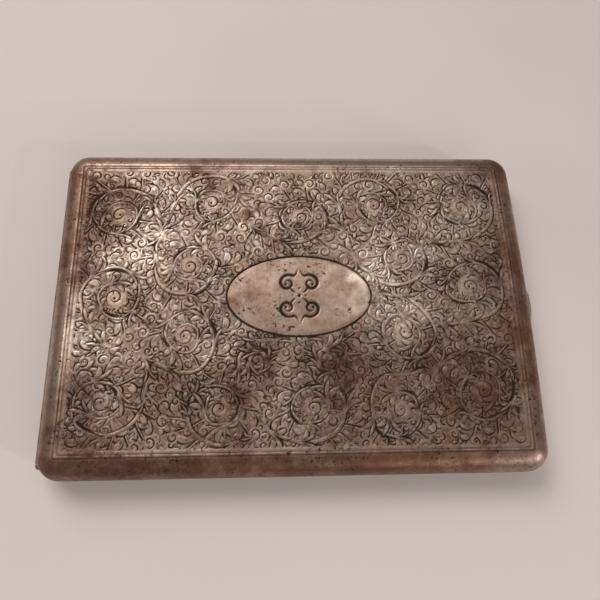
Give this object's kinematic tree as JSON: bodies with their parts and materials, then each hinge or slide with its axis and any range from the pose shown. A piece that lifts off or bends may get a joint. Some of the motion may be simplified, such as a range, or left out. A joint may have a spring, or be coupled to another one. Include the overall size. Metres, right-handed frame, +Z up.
{
  "type": "business card case",
  "caption": "Flat hinged metal case for business cards, with engraved scrollwork, an oval cartouche, a barrel hinge and a push-button catch.",
  "frame": {"origin": "centre of the flat face that the closed case rests on", "axes": "+X from the hinge side to the thumb piece side, +Y along the hinge towards the case's rear long edge, +Z up through the lid"},
  "size_m": [0.0982, 0.0672, 0.0088],
  "materials": {
    "engraved_silver": "tarnished, engraved sheet silver",
    "worn_silver": "worn, plain silver",
    "spring_steel": "dull grey spring steel",
    "elastic_ribbon": "woven elastic ribbon, old gold"
  },
  "bodies": {
    "base": {"base_shell": "engraved_silver", "closing_rim_front": "worn_silver", "closing_rim_rear": "worn_silver", "base_knuckle_front": "engraved_silver", "base_knuckle_middle": "engraved_silver", "base_knuckle_rear": "engraved_silver", "hinge_pin": "spring_steel", "hinge_plug_front": "engraved_silver", "hinge_plug_rear": "engraved_silver", "catch_spring": "spring_steel", "catch_spring_block": "worn_silver", "catch_spring_rivet_inner": "worn_silver", "catch_spring_rivet_outer": "worn_silver", "catch_guard": "worn_silver", "strap": "elastic_ribbon", "strap_staple_front": "worn_silver", "strap_staple_rear": "worn_silver"},
    "lid": {"lid_shell": "engraved_silver", "lid_knuckle_front": "engraved_silver", "lid_knuckle_rear": "engraved_silver", "keeper_bar": "worn_silver"},
    "catch": {"thumb_piece": "worn_silver", "catch_hook": "spring_steel"}
  },
  "joints": [
    {"name": "lid_hinge", "type": "hinge", "parent": "base", "child": "lid", "pos_m": [-0.04805, 0, 0.0044], "axis": [0, -1, 0], "range_deg": [0, 180]},
    {"name": "catch_press", "type": "slide", "parent": "base", "child": "catch", "axis": [-1, 0, 0], "range_m": [0, 0.0008], "stiffness_N_per_m": 250, "deforming": ["catch_spring"]}
  ]
}
